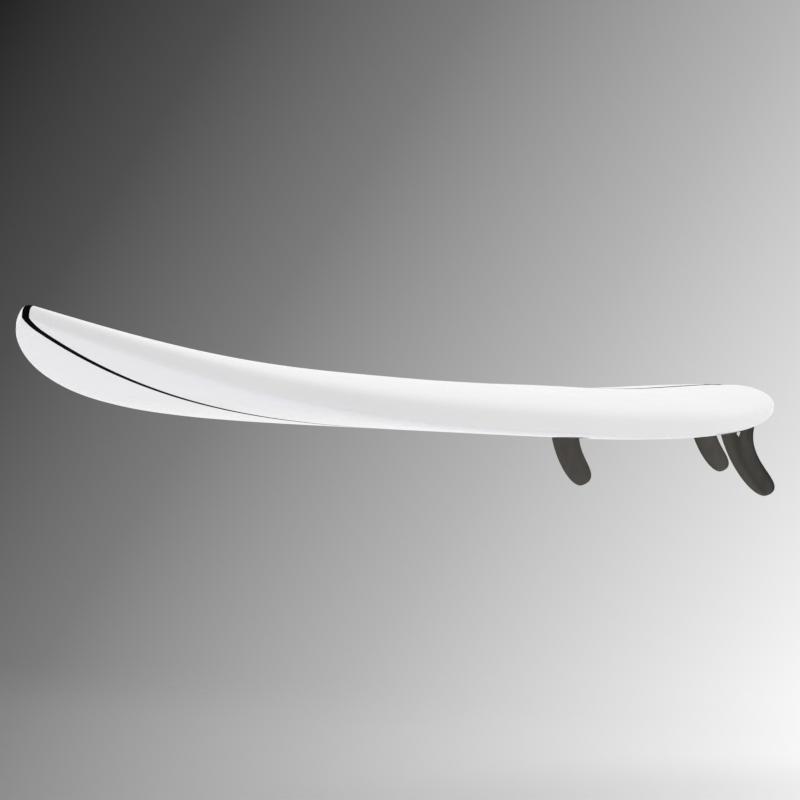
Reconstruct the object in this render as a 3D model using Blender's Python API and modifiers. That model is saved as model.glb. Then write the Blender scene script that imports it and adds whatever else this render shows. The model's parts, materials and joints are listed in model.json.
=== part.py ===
"""A mid-length surfboard with three removable fins, modelled as the pieces it is built from.

Frame: the nose points to -X and the tail to +X, +Y is the rider's right and +Z is up through
the deck. The origin is on the underside, halfway along the board and on its centre plane.

Two foam blank halves are glued to a stringer and wrapped in a deck laminate and a bottom
laminate that meet along the rails. Each fin has two tabs, and each tab sits in a plug that is
let into the bottom and is held by a grub screw. A leash cup with a bar sits in the deck.
"""

import math

import bmesh
import bpy
from mathutils import Vector

# Outline, rocker and foil in metres. Stations along the board are measured from the nose.
LENGTH = 2.134
WIDTH = 0.523
THICKNESS = 0.073
WIDE_POINT = 1.065
LOW_POINT = 1.178
THICK_POINT = 0.844
NOSE_ROCKER = 0.115
TAIL_ROCKER = 0.072
NOSE_THICKNESS = 0.021
TAIL_THICKNESS = 0.0206

# Powers that shape the curves: outline ends, rocker ends, foil ends and the cross-section.
OUTLINE_POWERS = {"nose": (2.14, 1.325), "tail": (2.69, 1.383)}
ROCKER_POWERS = {"nose": 3.61, "tail": 1.735}
FOIL_POWERS = {"nose": 0.858, "tail": 0.558}
DECK_POWER = 2.19
BOTTOM_POWER = 7.6
RAIL_APEX = 0.336

# Gentle swells on the rocker and the thickness, by station: the run of the tail is flat before
# its kick, and the deck stays full before it thins.
ROCKER_SWELLS = ((1.665, -0.0040), (1.921, 0.0037))
THICKNESS_SWELLS = ((1.366, 0.0050), (1.921, -0.0039))
SWELL_REACH = 0.181

# How far from each tip the deck and the underside start to round off towards the rail line.
DECK_ROUNDING = {"nose": 0.0127, "tail": 0.0116}
BOTTOM_ROUNDING = {"nose": 0.0367, "tail": 0.0170}

# Build-up of the hull.
DECK_SKIN = 0.0014
BOTTOM_SKIN = 0.0010
STRINGER_WIDTH = 0.011
GAP = 0.0003
STATIONS = 32
HOLLOW_FROM = 2
ARC_STEPS = 8
SLOPE_STEP = 0.002
GUIDE_SIZE = 0.05

# Fins: the blade's depth, its sweep and chord as shares of the depth, and its placing.
FIN_DEPTH = 0.1208
CENTRE_FIN_SHARE = 0.895
BLADE_SWEEP = (0.2675, 0.6352)
BLADE_CHORD = (1.0566, -1.4126, 2.0774, -0.8957)
BLADE_TIP_POWER = 8.0
BLADE_TIP_LEAD = 0.28
BLADE_THICKNESS = 0.0064
BLADE_TIP_THINNING = 0.6
BLADE_EDGE = 0.0009
BLADE_FLAT_SIDE = 0.0027
BLADE_CANT = math.radians(3.9)
BLADE_ROWS = 11
FOIL_STEPS = 8
SIDE_FIN_STATION = 1.7825
SIDE_FIN_OFFSET = 0.1527
SIDE_FIN_TOE = 0.028
CENTRE_FIN_STATION = 1.9705

# Fin tabs, plugs and grub screws.
TAB_SPACING = 0.060
TAB_LENGTH = 0.015
TAB_THICKNESS = 0.006
TAB_DEPTH = 0.0120
TAB_ROOT = 0.0009
PLUG_RADIUS = 0.0125
PLUG_FLANGE_RADIUS = 0.0140
PLUG_FLANGE = 0.0016
PLUG_DEPTH = 0.0155
SLOT_DEPTH = 0.0130
SCREW_RADIUS = 0.0025
SCREW_TIP_RADIUS = 0.0010
SCREW_LENGTH = 0.005
SCREW_CONE = 0.002
SCREW_TILT = math.radians(35)
SCREW_MOUTH_OFFSET = 0.0085
SCREW_HOLE_REACH = 0.0120
SCREW_HEAD_DEPTH = 0.0020
SOCKET_RADIUS = 0.00145
SOCKET_DEPTH = 0.0022

# Leash cup and its bar.
CUP_STATION = 2.001
CUP_FLANGE_RADIUS = 0.0152
CUP_RADIUS = 0.0135
CUP_MOUTH_RADIUS = 0.0115
CUP_FLOOR_RADIUS = 0.0085
CUP_FLANGE = 0.0016
CUP_DEPTH = 0.0180
CUP_FLOOR_DEPTH = 0.0155
BAR_RADIUS = 0.0020
BAR_DEPTH = 0.0052

MATERIALS = {
    "foam": ((0.93, 0.91, 0.85), 0.9, 0.0),
    "stringer": ((0.012, 0.012, 0.013), 0.5, 0.0),
    "laminate": ((0.86, 0.87, 0.88), 0.12, 0.0),
    "fin": ((0.07, 0.066, 0.06), 0.35, 0.0),
    "plug": ((0.80, 0.80, 0.79), 0.4, 0.0),
    "screw": ((0.55, 0.55, 0.56), 0.3, 1.0),
    "cup": ((0.015, 0.015, 0.016), 0.25, 0.0),
    "bar": ((0.60, 0.60, 0.61), 0.22, 1.0),
}


def along(station):
    """The frame's x of a station measured from the nose."""
    return station - 0.5 * LENGTH


def end_share(station, turning_point):
    """How far a station is from the turning point towards its end (0 to 1), and which end."""
    if station < turning_point:
        return (turning_point - station) / turning_point, "nose"
    return (station - turning_point) / (LENGTH - turning_point), "tail"


def half_width(station):
    """The outline: half the board's width."""
    share, end = end_share(station, WIDE_POINT)
    first, second = OUTLINE_POWERS[end]
    return 0.5 * WIDTH * max(1.0 - share**first, 0.0) ** (1.0 / second)


def swell(station, swells):
    """The sum at a station of smooth swells, each a middle station and a height."""
    reaches = [((station - middle) / SWELL_REACH, height) for middle, height in swells]
    return sum(height * math.exp(-0.5 * reach**2) for reach, height in reaches)


def rocker(station):
    """The height of the underside on the centre plane, short of the tips' rounding."""
    share, end = end_share(station, LOW_POINT)
    rise = NOSE_ROCKER if end == "nose" else TAIL_ROCKER
    return rise * share ** ROCKER_POWERS[end] + swell(station, ROCKER_SWELLS)


def thickness(station):
    """The hull's thickness on the centre plane, short of the tips' rounding."""
    share, end = end_share(station, THICK_POINT)
    tip = NOSE_THICKNESS if end == "nose" else TAIL_THICKNESS
    full = tip + (THICKNESS - tip) * max(1.0 - share**2, 0.0) ** FOIL_POWERS[end]
    return full + swell(station, THICKNESS_SWELLS)


def rail_height(station):
    """The height of the rail line, where the deck and the underside meet."""
    return rocker(station) + thickness(station) * RAIL_APEX


def depth_from_rail(station, side):
    """How far the deck (side 1) or the underside (-1) stands off the rail line's height."""
    share, rounding = (1.0 - RAIL_APEX, DECK_ROUNDING) if side > 0 else (RAIL_APEX, BOTTOM_ROUNDING)
    to_tip = min(station, LENGTH - station)
    reach = rounding["nose" if station < WIDE_POINT else "tail"]
    kept = 1.0 if to_tip > reach else math.sqrt(max(1.0 - (1.0 - to_tip / reach) ** 2, 0.0))
    return thickness(station) * share * kept


def crown(share, power):
    """The height of a section's curve, as a share, at a share of its half width."""
    return max(1.0 - abs(share) ** power, 0.0) ** (1.0 / power)


def bottom_height(station, across):
    """The height of the underside at a distance across from the centre plane."""
    drop = depth_from_rail(station, -1) * crown(across / half_width(station), BOTTOM_POWER)
    return rail_height(station) - drop


def deck_height(station):
    """The height of the deck on the centre plane."""
    return rail_height(station) + depth_from_rail(station, 1)


def hull_arc(station, side, inset=0.0, skin=0.0, seam=0.0):
    """One side of a section, from rail to rail: side 1 is the deck and -1 the underside.

    inset narrows it at the rails, skin lowers its crown and seam lifts it off the rail line.
    """
    rail = rail_height(station)
    power = DECK_POWER if side > 0 else BOTTOM_POWER
    width = half_width(station) - inset
    height = depth_from_rail(station, side) - skin - seam
    points = []
    for step in range(-ARC_STEPS, ARC_STEPS + 1):
        across = math.sin(0.5 * math.pi * step / ARC_STEPS)
        up = rail + side * (seam + height * crown(across, power))
        points.append(Vector((along(station), width * across, up)))
    return points


def station_list():
    """Stations from nose to tail, without the tips themselves, closer together near the tips."""
    turns = [math.pi * step / STATIONS for step in range(1, STATIONS)]
    return [0.5 * LENGTH * (1.0 - math.cos(turn)) for turn in turns]


def slope(height_at, place):
    """The slope of a height that depends on a place along or across the board."""
    rise = height_at(place + SLOPE_STEP) - height_at(place - SLOPE_STEP)
    return rise / (2.0 * SLOPE_STEP)


def clear_scene():
    for item in list(bpy.data.objects):
        bpy.data.objects.remove(item, do_unlink=True)


def new_collection(name):
    collection = bpy.data.collections.new(name)
    bpy.context.scene.collection.children.link(collection)
    return collection


def material(name):
    """A plain material from the table of colours."""
    found = bpy.data.materials.get(name)
    if found:
        return found
    colour, roughness, metallic = MATERIALS[name]
    made = bpy.data.materials.new(name)
    made.use_nodes = True
    shader = made.node_tree.nodes["Principled BSDF"]
    shader.inputs["Base Color"].default_value = (*colour, 1.0)
    shader.inputs["Roughness"].default_value = roughness
    shader.inputs["Metallic"].default_value = metallic
    made.diffuse_color = (*colour, 1.0)
    return made


def guide(name, collection):
    """An empty that pieces are placed by."""
    empty = bpy.data.objects.new(name, None)
    collection.objects.link(empty)
    empty.empty_display_size = GUIDE_SIZE
    return empty


def add_object(name, mesh, collection, look=None, parent=None):
    """An object for a mesh, in a collection, with a material or, without one, as a cutter."""
    item = bpy.data.objects.new(name, mesh)
    collection.objects.link(item)
    item.parent = parent
    if look:
        if not mesh.materials:
            mesh.materials.append(material(look))
    else:
        item.hide_render = True
        item.display_type = "WIRE"
    return item


def finish_mesh(build, name, smooth_angle=None):
    """A mesh from a bmesh, with its faces pointing out and its round parts shaded smooth."""
    bmesh.ops.recalc_face_normals(build, faces=build.faces)
    mesh = bpy.data.meshes.new(name)
    build.to_mesh(mesh)
    build.free()
    if smooth_angle is not None:
        mesh.shade_smooth()
        mesh.set_sharp_from_angle(angle=smooth_angle)
    return mesh


def loft(rings, start=None, end=None):
    """A closed bmesh through rings of points. An end is a point, or else a flat face."""
    build = bmesh.new()
    rows = [[build.verts.new(point) for point in ring] for ring in rings]
    count = len(rows[0])
    for row, following in zip(rows, rows[1:]):
        for i in range(count):
            j = (i + 1) % count
            corners = (row[i], row[j], following[j], following[i])
            # Each quad's diagonal runs outwards from the centre plane, so that a shell's inside
            # and the core that fits it have the same facets.
            if abs(row[i].co.y) > abs(row[j].co.y):
                corners = corners[1:] + corners[:1]
            build.faces.new(corners[:3])
            build.faces.new((corners[0], corners[2], corners[3]))
    for row, tip in ((rows[0], start), (rows[-1], end)):
        if tip is None:
            build.faces.new(row)
            continue
        point = build.verts.new(tip)
        for i in range(count):
            build.faces.new((row[i], row[(i + 1) % count], point))
    return build


def cylinder(radius, low, high, segments=24):
    """A bmesh cylinder along Z between two heights."""
    build = bmesh.new()
    bmesh.ops.create_cone(
        build,
        cap_ends=True,
        segments=segments,
        radius1=radius,
        radius2=radius,
        depth=high - low,
    )
    bmesh.ops.translate(build, verts=build.verts, vec=(0.0, 0.0, 0.5 * (low + high)))
    return build


def block(size, centre):
    """A bmesh box of a size about a centre."""
    build = bmesh.new()
    bmesh.ops.create_cube(build, size=1.0)
    bmesh.ops.scale(build, verts=build.verts, vec=size)
    bmesh.ops.translate(build, verts=build.verts, vec=centre)
    return build


def turned(name, profile, look, collection, parent=None, steps=24):
    """A solid turned about Z from a profile that runs down its outer side."""
    mesh = bpy.data.meshes.new(name)
    points = [(radius, 0.0, height) for radius, height in profile]
    edges = [(i, i + 1) for i in range(len(points) - 1)]
    mesh.from_pydata(points, edges, [])
    item = add_object(name, mesh, collection, look, parent)
    screw = item.modifiers.new("turn", "SCREW")
    screw.steps = steps
    screw.render_steps = steps
    screw.use_merge_vertices = True
    screw.merge_threshold = 0.00005
    return item


def boolean(target, tool, operation="DIFFERENCE"):
    modifier = target.modifiers.new(tool.name, "BOOLEAN")
    modifier.operation = operation
    modifier.solver = "EXACT"
    modifier.object = tool


def keep_slab(build, low, high):
    """Cuts a closed bmesh down to the part between two planes across Y, and closes the cuts."""
    for offset, direction in ((low, -1.0), (high, 1.0)):
        if offset is None:
            continue
        geometry = list(build.verts) + list(build.edges) + list(build.faces)
        found = bmesh.ops.bisect_plane(
            build,
            geom=geometry,
            plane_co=(0.0, offset, 0.0),
            plane_no=(0.0, direction, 0.0),
            clear_outer=True,
        )
        cut = [piece for piece in found["geom_cut"] if isinstance(piece, bmesh.types.BMEdge)]
        bmesh.ops.contextual_create(build, geom=cut)


def core_mesh(name, low, high):
    """The foam core inside the laminates, between two planes across Y."""
    inset = DECK_SKIN + GAP
    rings = []
    for station in station_list()[HOLLOW_FROM - 1 : STATIONS - HOLLOW_FROM]:
        deck = hull_arc(station, 1, inset, DECK_SKIN + GAP)
        bottom = hull_arc(station, -1, inset, BOTTOM_SKIN + GAP)
        rings.append(deck + bottom[-2:0:-1])
    build = loft(rings)
    keep_slab(build, low, high)
    return finish_mesh(build, name, math.radians(35))


def laminate_mesh(name, side, skin):
    """One laminate: a shell that closes on the rail line and is solid resin at the tips."""
    seam = 0.5 * GAP
    rings = []
    for number, station in enumerate(station_list(), start=1):
        outer = hull_arc(station, side, seam=seam)
        inner = hull_arc(station, side, DECK_SKIN, skin, seam)
        if number < HOLLOW_FROM or number > STATIONS - HOLLOW_FROM:
            level = outer[0].z
            inner = [Vector((point.x, point.y, level)) for point in inner]
        rings.append(outer + inner[::-1])
    tips = []
    for station in (0.0, LENGTH):
        tips.append(Vector((along(station), 0.0, rail_height(station) + side * seam)))
    return finish_mesh(loft(rings, *tips), name, math.radians(50))


def make_hull(parts):
    """The blank halves, the stringer and the two laminates, by name."""
    edge = 0.5 * STRINGER_WIDTH
    hull = {}
    hull["blank_left"] = add_object(
        "blank_left", core_mesh("blank_left", None, -edge - GAP), parts, "foam"
    )
    hull["blank_right"] = add_object(
        "blank_right", core_mesh("blank_right", edge + GAP, None), parts, "foam"
    )
    hull["stringer"] = add_object(
        "stringer", core_mesh("stringer", -edge, edge), parts, "stringer"
    )
    hull["deck_laminate"] = add_object(
        "deck_laminate", laminate_mesh("deck_laminate", 1, DECK_SKIN), parts, "laminate"
    )
    hull["bottom_laminate"] = add_object(
        "bottom_laminate", laminate_mesh("bottom_laminate", -1, BOTTOM_SKIN), parts, "laminate"
    )
    return hull


def fin_box(name, station, across, toe, parts):
    """An empty on the underside at the middle of a fin's base: X aft, Z straight out of the hull."""
    lengthwise = slope(lambda at: bottom_height(at, across), station)
    crosswise = slope(lambda at: bottom_height(station, at), across)
    box = guide(name, parts)
    box.location = (along(station), across, bottom_height(station, across))
    box.rotation_euler = (math.pi + math.atan(crosswise), -math.atan(lengthwise), toe)
    return box


def foil_thickness(share):
    """A foil's thickness as a share of its greatest, at a share of the chord from the front."""
    root = 0.2969 * math.sqrt(share)
    return 10.0 * (root - 0.126 * share - 0.3516 * share**2 + 0.2843 * share**3 - 0.1036 * share**4)


def blade_ring(share, depth, outward):
    """The blade's section at a share of its depth. outward is the foiled side, or 0 for both."""
    sweep = depth * (BLADE_SWEEP[0] * share + BLADE_SWEEP[1] * share**2)
    chord = depth * sum(part * share**power for power, part in enumerate(BLADE_CHORD))
    kept = math.sqrt(1.0 - share**BLADE_TIP_POWER)
    front = sweep + (1.0 - kept) * chord * BLADE_TIP_LEAD - 0.5 * depth * BLADE_CHORD[0]
    length = chord * kept
    greatest = BLADE_THICKNESS * (1.0 - BLADE_TIP_THINNING * share)
    edge = min(BLADE_EDGE, 0.5 * length)
    sides = ([], [])
    for step in range(FOIL_STEPS + 1):
        at = 0.5 - 0.5 * math.cos(math.pi * step / FOIL_STEPS)
        thick = max(greatest * foil_thickness(at), edge)
        inner = -0.5 * thick if outward == 0 else -BLADE_FLAT_SIDE
        for side, offset in zip(sides, (inner + thick, inner)):
            across = offset if outward >= 0 else -offset
            side.append((front + at * length, across))
    ring = sides[0] + sides[1][::-1]
    down = GAP + share * (depth - GAP)
    lean = BLADE_CANT * outward
    return [
        Vector((x, y * math.cos(lean) + down * math.sin(lean), down * math.cos(lean)))
        for x, y in ring
    ]


def fin_mesh(name, depth, outward):
    """The blade of a fin, from its root at the hull to its tip."""
    rings = []
    for row in range(BLADE_ROWS + 1):
        share = min(1.0 - (1.0 - row / BLADE_ROWS) ** 2, 0.9995)
        rings.append(blade_ring(share, depth, outward))
    return finish_mesh(loft(rings), name, math.radians(40))


def tab_mesh(name):
    """A fin's tab, which reaches a little into the blade's root."""
    size = (TAB_LENGTH, TAB_THICKNESS, TAB_DEPTH + TAB_ROOT)
    return finish_mesh(block(size, (0.0, 0.0, 0.5 * (TAB_ROOT - TAB_DEPTH))), name)


def baked(item, name):
    """The evaluated mesh of an object, for its copies to share; the object is removed."""
    graph = bpy.context.evaluated_depsgraph_get()
    mesh = bpy.data.meshes.new_from_object(item.evaluated_get(graph))
    mesh.name = name
    bpy.data.objects.remove(item, do_unlink=True)
    return mesh


def plug_mesh(cutters):
    """A fin plug: Z out of its mouth, the slot along X and the screw hole on the +Y side."""
    profile = (
        (0.0, 0.0),
        (PLUG_FLANGE_RADIUS, 0.0),
        (PLUG_FLANGE_RADIUS, -PLUG_FLANGE),
        (PLUG_RADIUS, -PLUG_FLANGE),
        (PLUG_RADIUS, -PLUG_DEPTH),
        (0.0, -PLUG_DEPTH),
    )
    plug = turned("plug", profile, "plug", cutters)
    size = (TAB_LENGTH + 2.0 * GAP, TAB_THICKNESS + 2.0 * GAP, 2.0 * SLOT_DEPTH)
    slot = add_object("slot", finish_mesh(block(size, (0.0, 0.0, 0.0)), "slot"), cutters)
    hole_shape = cylinder(SCREW_RADIUS + GAP, -SCREW_HOLE_REACH, SCREW_HOLE_REACH, 16)
    hole = add_object("screw_hole", finish_mesh(hole_shape, "screw_hole"), cutters)
    hole.location = (0.0, SCREW_MOUTH_OFFSET, 0.0)
    hole.rotation_euler = (-SCREW_TILT, 0.0, 0.0)
    boolean(plug, slot)
    boolean(plug, hole)
    mesh = baked(plug, "fin_plug")
    bpy.data.objects.remove(slot, do_unlink=True)
    bpy.data.objects.remove(hole, do_unlink=True)
    mesh.set_sharp_from_angle(angle=math.radians(35))
    return mesh


def screw_mesh(cutters):
    """A grub screw with a cone point at its origin and a hexagonal socket at its other end."""
    profile = (
        (0.0, SCREW_LENGTH),
        (SCREW_RADIUS, SCREW_LENGTH),
        (SCREW_RADIUS, SCREW_CONE),
        (SCREW_TIP_RADIUS, 0.0),
        (0.0, 0.0),
    )
    screw = turned("screw", profile, "screw", cutters, steps=16)
    low = SCREW_LENGTH - SOCKET_DEPTH
    socket_shape = cylinder(SOCKET_RADIUS, low, 2.0 * SCREW_LENGTH, 6)
    socket = add_object("socket", finish_mesh(socket_shape, "socket"), cutters)
    boolean(screw, socket)
    mesh = baked(screw, "grub_screw")
    bpy.data.objects.remove(socket, do_unlink=True)
    mesh.set_sharp_from_angle(angle=math.radians(35))
    return mesh


def make_fin(side_name, box, depth, outward, screw_side, shared, hull, parts, cutters):
    """A fin in its box: the blade with its two tabs, and the plug and screw of each tab."""
    name = f"{side_name}_fin"
    fin = add_object(name, fin_mesh(name, depth, outward), parts, "fin", box)
    for place, along_box in (("front", -0.5 * TAB_SPACING), ("rear", 0.5 * TAB_SPACING)):
        label = f"{side_name}_{place}"
        tab = add_object(f"{label}_tab", shared["tab"], cutters, parent=box)
        tab.location = (along_box, 0.0, 0.0)
        boolean(fin, tab, "UNION")

        plug = add_object(f"{label}_fin_plug", shared["plug"], parts, "plug", box)
        plug.location = (along_box, 0.0, 0.0)
        plug.rotation_euler = (0.0, 0.0, 0.0 if screw_side > 0 else math.pi)

        depth_of_tip = SCREW_HEAD_DEPTH + SCREW_LENGTH * math.cos(SCREW_TILT)
        across = SCREW_MOUTH_OFFSET - depth_of_tip * math.tan(SCREW_TILT)
        screw = add_object(f"{label}_grub_screw", shared["screw"], parts, "screw", box)
        screw.location = (along_box, screw_side * across, -depth_of_tip)
        screw.rotation_euler = (-screw_side * SCREW_TILT, 0.0, 0.0)

        pocket = add_object(f"{label}_pocket", shared["pocket"], cutters, parent=box)
        pocket.location = (along_box, 0.0, 0.0)
        for piece in hull:
            boolean(piece, pocket)


def make_fins(hull, parts, cutters):
    """The left, right and centre fins with their plugs and screws."""
    pocket_shape = cylinder(PLUG_FLANGE_RADIUS + GAP, -PLUG_DEPTH - GAP, PLUG_DEPTH)
    shared = {
        "plug": plug_mesh(cutters),
        "screw": screw_mesh(cutters),
        "tab": tab_mesh("fin_tab"),
        "pocket": finish_mesh(pocket_shape, "plug_pocket"),
    }
    for side_name, side in (("left", -1), ("right", 1)):
        box = fin_box(
            f"{side_name}_fin_box",
            SIDE_FIN_STATION,
            side * SIDE_FIN_OFFSET,
            side * SIDE_FIN_TOE,
            parts,
        )
        # In the box's frame +Y is towards the rider's left, so the left fin's outside is +Y.
        pieces = (hull[f"blank_{side_name}"], hull["bottom_laminate"])
        make_fin(side_name, box, FIN_DEPTH, -side, side, shared, pieces, parts, cutters)
    box = fin_box("centre_fin_box", CENTRE_FIN_STATION, 0.0, 0.0, parts)
    pieces = [hull[name] for name in ("blank_left", "blank_right", "stringer", "bottom_laminate")]
    depth = FIN_DEPTH * CENTRE_FIN_SHARE
    make_fin("centre", box, depth, 0, 1, shared, pieces, parts, cutters)


def make_leash_cup(hull, parts, cutters):
    """The leash cup in the deck and the bar across it."""
    site = guide("leash_cup_site", parts)
    site.location = (along(CUP_STATION), 0.0, deck_height(CUP_STATION))
    site.rotation_euler = (0.0, -math.atan(slope(deck_height, CUP_STATION)), 0.0)
    profile = (
        (0.0, -CUP_FLOOR_DEPTH),
        (CUP_FLOOR_RADIUS, -CUP_FLOOR_DEPTH),
        (CUP_MOUTH_RADIUS, -CUP_FLOOR_DEPTH + CUP_MOUTH_RADIUS - CUP_FLOOR_RADIUS),
        (CUP_MOUTH_RADIUS, 0.0),
        (CUP_FLANGE_RADIUS, 0.0),
        (CUP_FLANGE_RADIUS, -CUP_FLANGE),
        (CUP_RADIUS, -CUP_FLANGE),
        (CUP_RADIUS, -CUP_DEPTH),
        (0.0, -CUP_DEPTH),
    )
    cup = turned("leash_cup", profile, "cup", parts, site, 32)

    reach = CUP_RADIUS - GAP
    bar = add_object(
        "leash_bar",
        finish_mesh(cylinder(BAR_RADIUS, -reach, reach, 20), "leash_bar", math.radians(35)),
        parts,
        "bar",
        site,
    )
    hole_shape = cylinder(BAR_RADIUS + GAP, -2.0 * CUP_RADIUS, 2.0 * CUP_RADIUS, 20)
    hole = add_object("bar_hole", finish_mesh(hole_shape, "bar_hole"), cutters, parent=site)
    for piece in (bar, hole):
        piece.location = (0.0, 0.0, -BAR_DEPTH)
        piece.rotation_euler = (0.5 * math.pi, 0.0, 0.0)
    boolean(cup, hole)

    pocket_shape = cylinder(CUP_FLANGE_RADIUS + GAP, -CUP_DEPTH - GAP, CUP_DEPTH, 32)
    pocket = add_object("cup_pocket", finish_mesh(pocket_shape, "cup_pocket"), cutters, parent=site)
    for name in ("blank_left", "blank_right", "stringer", "deck_laminate"):
        boolean(hull[name], pocket)


def main():
    clear_scene()
    parts = new_collection("surfboard")
    cutters = new_collection("surfboard_cutters")
    hull = make_hull(parts)
    make_fins(hull, parts, cutters)
    make_leash_cup(hull, parts, cutters)


main()
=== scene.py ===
import json
import math

import bmesh
import bpy
from mathutils import Matrix, Vector


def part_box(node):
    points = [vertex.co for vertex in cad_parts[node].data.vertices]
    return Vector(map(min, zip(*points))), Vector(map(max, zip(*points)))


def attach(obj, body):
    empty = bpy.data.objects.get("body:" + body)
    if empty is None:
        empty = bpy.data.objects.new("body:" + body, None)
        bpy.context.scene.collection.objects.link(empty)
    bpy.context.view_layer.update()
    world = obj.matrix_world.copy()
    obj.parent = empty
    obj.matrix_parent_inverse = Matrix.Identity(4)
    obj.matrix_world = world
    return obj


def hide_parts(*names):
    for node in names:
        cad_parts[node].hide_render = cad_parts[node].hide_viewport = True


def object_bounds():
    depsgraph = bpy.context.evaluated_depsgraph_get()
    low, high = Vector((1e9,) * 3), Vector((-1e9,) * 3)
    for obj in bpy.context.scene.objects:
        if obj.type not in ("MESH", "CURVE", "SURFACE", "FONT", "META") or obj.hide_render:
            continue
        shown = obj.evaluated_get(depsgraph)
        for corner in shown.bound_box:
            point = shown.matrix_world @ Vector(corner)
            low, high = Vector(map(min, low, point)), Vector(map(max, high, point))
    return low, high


# The looks of a mid-length surfboard. The frame's X runs from the nose to the tail, +Y is the
# rider's right and +Z is up through the deck; lengths are in metres. The hull, the fins and their
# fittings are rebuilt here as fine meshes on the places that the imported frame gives.

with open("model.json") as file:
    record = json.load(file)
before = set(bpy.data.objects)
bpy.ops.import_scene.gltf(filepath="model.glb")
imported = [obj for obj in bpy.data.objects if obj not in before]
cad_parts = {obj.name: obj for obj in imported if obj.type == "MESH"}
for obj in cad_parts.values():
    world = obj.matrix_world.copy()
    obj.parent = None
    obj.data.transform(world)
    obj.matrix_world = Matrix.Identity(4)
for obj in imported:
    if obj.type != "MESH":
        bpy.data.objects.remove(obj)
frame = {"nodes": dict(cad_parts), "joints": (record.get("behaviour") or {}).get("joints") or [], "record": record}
CAD_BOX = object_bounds()
NODES = frame["nodes"]
AXES = {joint["child"]: Vector(joint["axis"]).normalized() for joint in frame["joints"]}
MOUNTS = {mount["name"]: mount for mount in frame["record"]["mounts"]}
AFT = Vector((1.0, 0.0, 0.0))

# The hull's curves, by stations measured from the nose. The powers shape the outline, rocker and
# foil towards each end, and the cross-section above and below the rail's apex.
NOSE_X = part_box("bottom_laminate")[0].x
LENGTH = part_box("bottom_laminate")[1].x - NOSE_X
WIDTH = 2.0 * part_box("bottom_laminate")[1].y
THICKNESS = 0.073
WIDE_POINT = 1.065
LOW_POINT = 1.178
THICK_POINT = 0.844
NOSE_ROCKER = 0.115
TAIL_ROCKER = 0.072
NOSE_THICKNESS = 0.021
TAIL_THICKNESS = 0.0206
OUTLINE_POWERS = {"nose": (2.14, 1.325), "tail": (2.69, 1.383)}
ROCKER_POWERS = {"nose": 3.61, "tail": 1.735}
FOIL_POWERS = {"nose": 0.858, "tail": 0.558}
DECK_POWER = 2.19
BOTTOM_POWER = 7.6
RAIL_APEX = 0.336
ROCKER_SWELLS = ((1.665, -0.0040), (1.921, 0.0037))
THICKNESS_SWELLS = ((1.366, 0.0050), (1.921, -0.0039))
SWELL_REACH = 0.181
DECK_ROUNDING = {"nose": 0.0127, "tail": 0.0116}
BOTTOM_ROUNDING = {"nose": 0.0367, "tail": 0.0170}
SKIN = 0.0009
HULL_STATIONS = 220
HULL_ARC_STEPS = 44
STRINGER_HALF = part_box("stringer")[1].y
LAP_WIDTH = 0.048
LAP_WANDER = 0.010

# The fins' blades. Sweep and chord are sums of powers of the share of the depth, both as shares
# of the depth; thickness, edge, flat side and root are in metres.
BLADE_SWEEP = (0.2675, 0.6352)
BLADE_CHORD = (1.0566, -1.4126, 2.0774, -0.8957)
BLADE_TIP_POWER = 8.0
BLADE_TIP_LEAD = 0.28
BLADE_THICKNESS = 0.0064
BLADE_TIP_THINNING = 0.6
BLADE_EDGE = 0.0009
BLADE_FLAT_SIDE = 0.0027
BLADE_CANT = math.radians(3.9)
BLADE_ROOT = 0.0003
BLADE_ROWS = 72
FOIL_STEPS = 26
FIN_SIDES = {"left": 1, "right": -1, "centre": 0}

# Tabs, plugs, screws and the leash cup.
TAB_LENGTH = 0.015
TAB_THICKNESS = 0.006
TAB_DEPTH = 0.0120
TAB_ROOT = 0.0009
TAB_ROUNDING = 0.0007
PLUG_FLANGE = 0.0016
PLUG_WALL_STEP = 0.0015
PLUG_RIB = 0.0005
PLUG_RIBS = 3
SLOT_CLEARANCE = 0.0003
SLOT_DEPTH = 0.0130
SLOT_ROUNDING = 0.0006
SCREW_CLEARANCE = 0.0003
SCREW_HOLE_DEPTH = 0.012
SCREW_HOLE_ABOVE = 0.006
MOUTH_WIDENING = 0.0012
MOUTH_HALF_SLOPE = 0.0006
THREAD_PITCH = 0.0008
THREAD_DEPTH = 0.00032
THREAD_ROWS = 12
SCREW_STEPS = 48
SOCKET_RADIUS = 0.00145
SOCKET_DEPTH = 0.0022
CUP_FLANGE = 0.0016
CUP_WALL_STEP = 0.0017
CUP_MOUTH_RADIUS = 0.0115
CUP_FLOOR_RADIUS = 0.0085
CUP_FLOOR = 0.0025
POCKET_GAP = 0.00012

# The plain mark on the outer face of a side fin: shares of the chord and of the blade's depth.
MARK_PLACE = (0.43, 0.10)
MARK_HALF_SIZE = (0.065, 0.045)

# The camera, ahead of the nose and to the left: angles in radians and the lens in millimetres.
CAMERA_PLACE = (-5.607, -3.077, 0.0180)
CAMERA_YAW = 1.0608
CAMERA_PITCH = 0.0039
CAMERA_ROLL = 0.0490
CAMERA_LENS = 198.95

FLOOR_DROP = 0.45
FLOOR_RADIUS = 3.2
FLOOR_FADE = (1.3, 3.104)
FLOOR_TONE = (0.886, 0.874, 0.905, 1.0)

# The backdrop: the slope of its tone across the picture, the shift that starts it at nought in
# the top left corner, and its levels on the way to the bottom right.
BACKDROP_SLOPE = (0.6, -0.4, 0.0)
BACKDROP_SHIFT = 0.4
BACKDROP_LEVELS = (
    (0.0, 0.017),
    (0.18, 0.080),
    (0.36, 0.200),
    (0.60, 0.455),
    (0.82, 0.745),
    (1.0, 0.995),
)

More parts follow.
